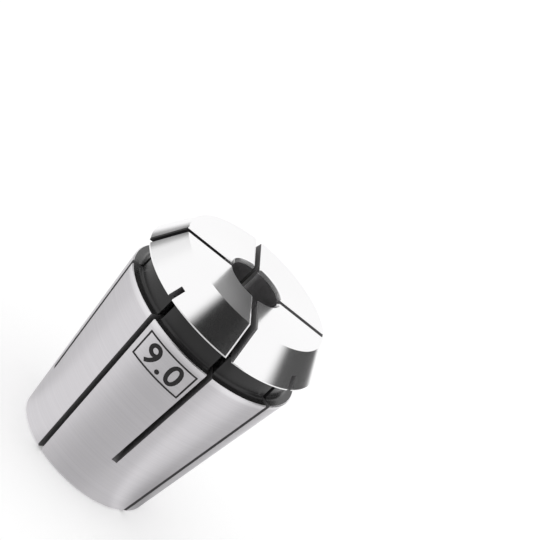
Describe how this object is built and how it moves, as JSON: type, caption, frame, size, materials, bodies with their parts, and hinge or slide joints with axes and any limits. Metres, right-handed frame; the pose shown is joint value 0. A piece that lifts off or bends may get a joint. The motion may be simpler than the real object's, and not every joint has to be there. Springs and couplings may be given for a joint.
{
  "type": "er collet",
  "caption": "Slotted spring collet with a steep front cone, a nut groove, a long 8 degree rear taper, a round gripping bore and a square drive inside.",
  "frame": {"origin": "centre of the rear face, the small end that the collet stands on", "axes": "+Z along the axis, from the rear face to the front face; the front slots open along +X, -X, +Y and -Y"},
  "size_m": [0.033, 0.033, 0.04],
  "materials": {
    "ground_steel": "ground, polished at the front, dark in the groove and slots"
  },
  "bodies": {
    "root": {"collet": "ground_steel"}
  },
  "joints": []
}
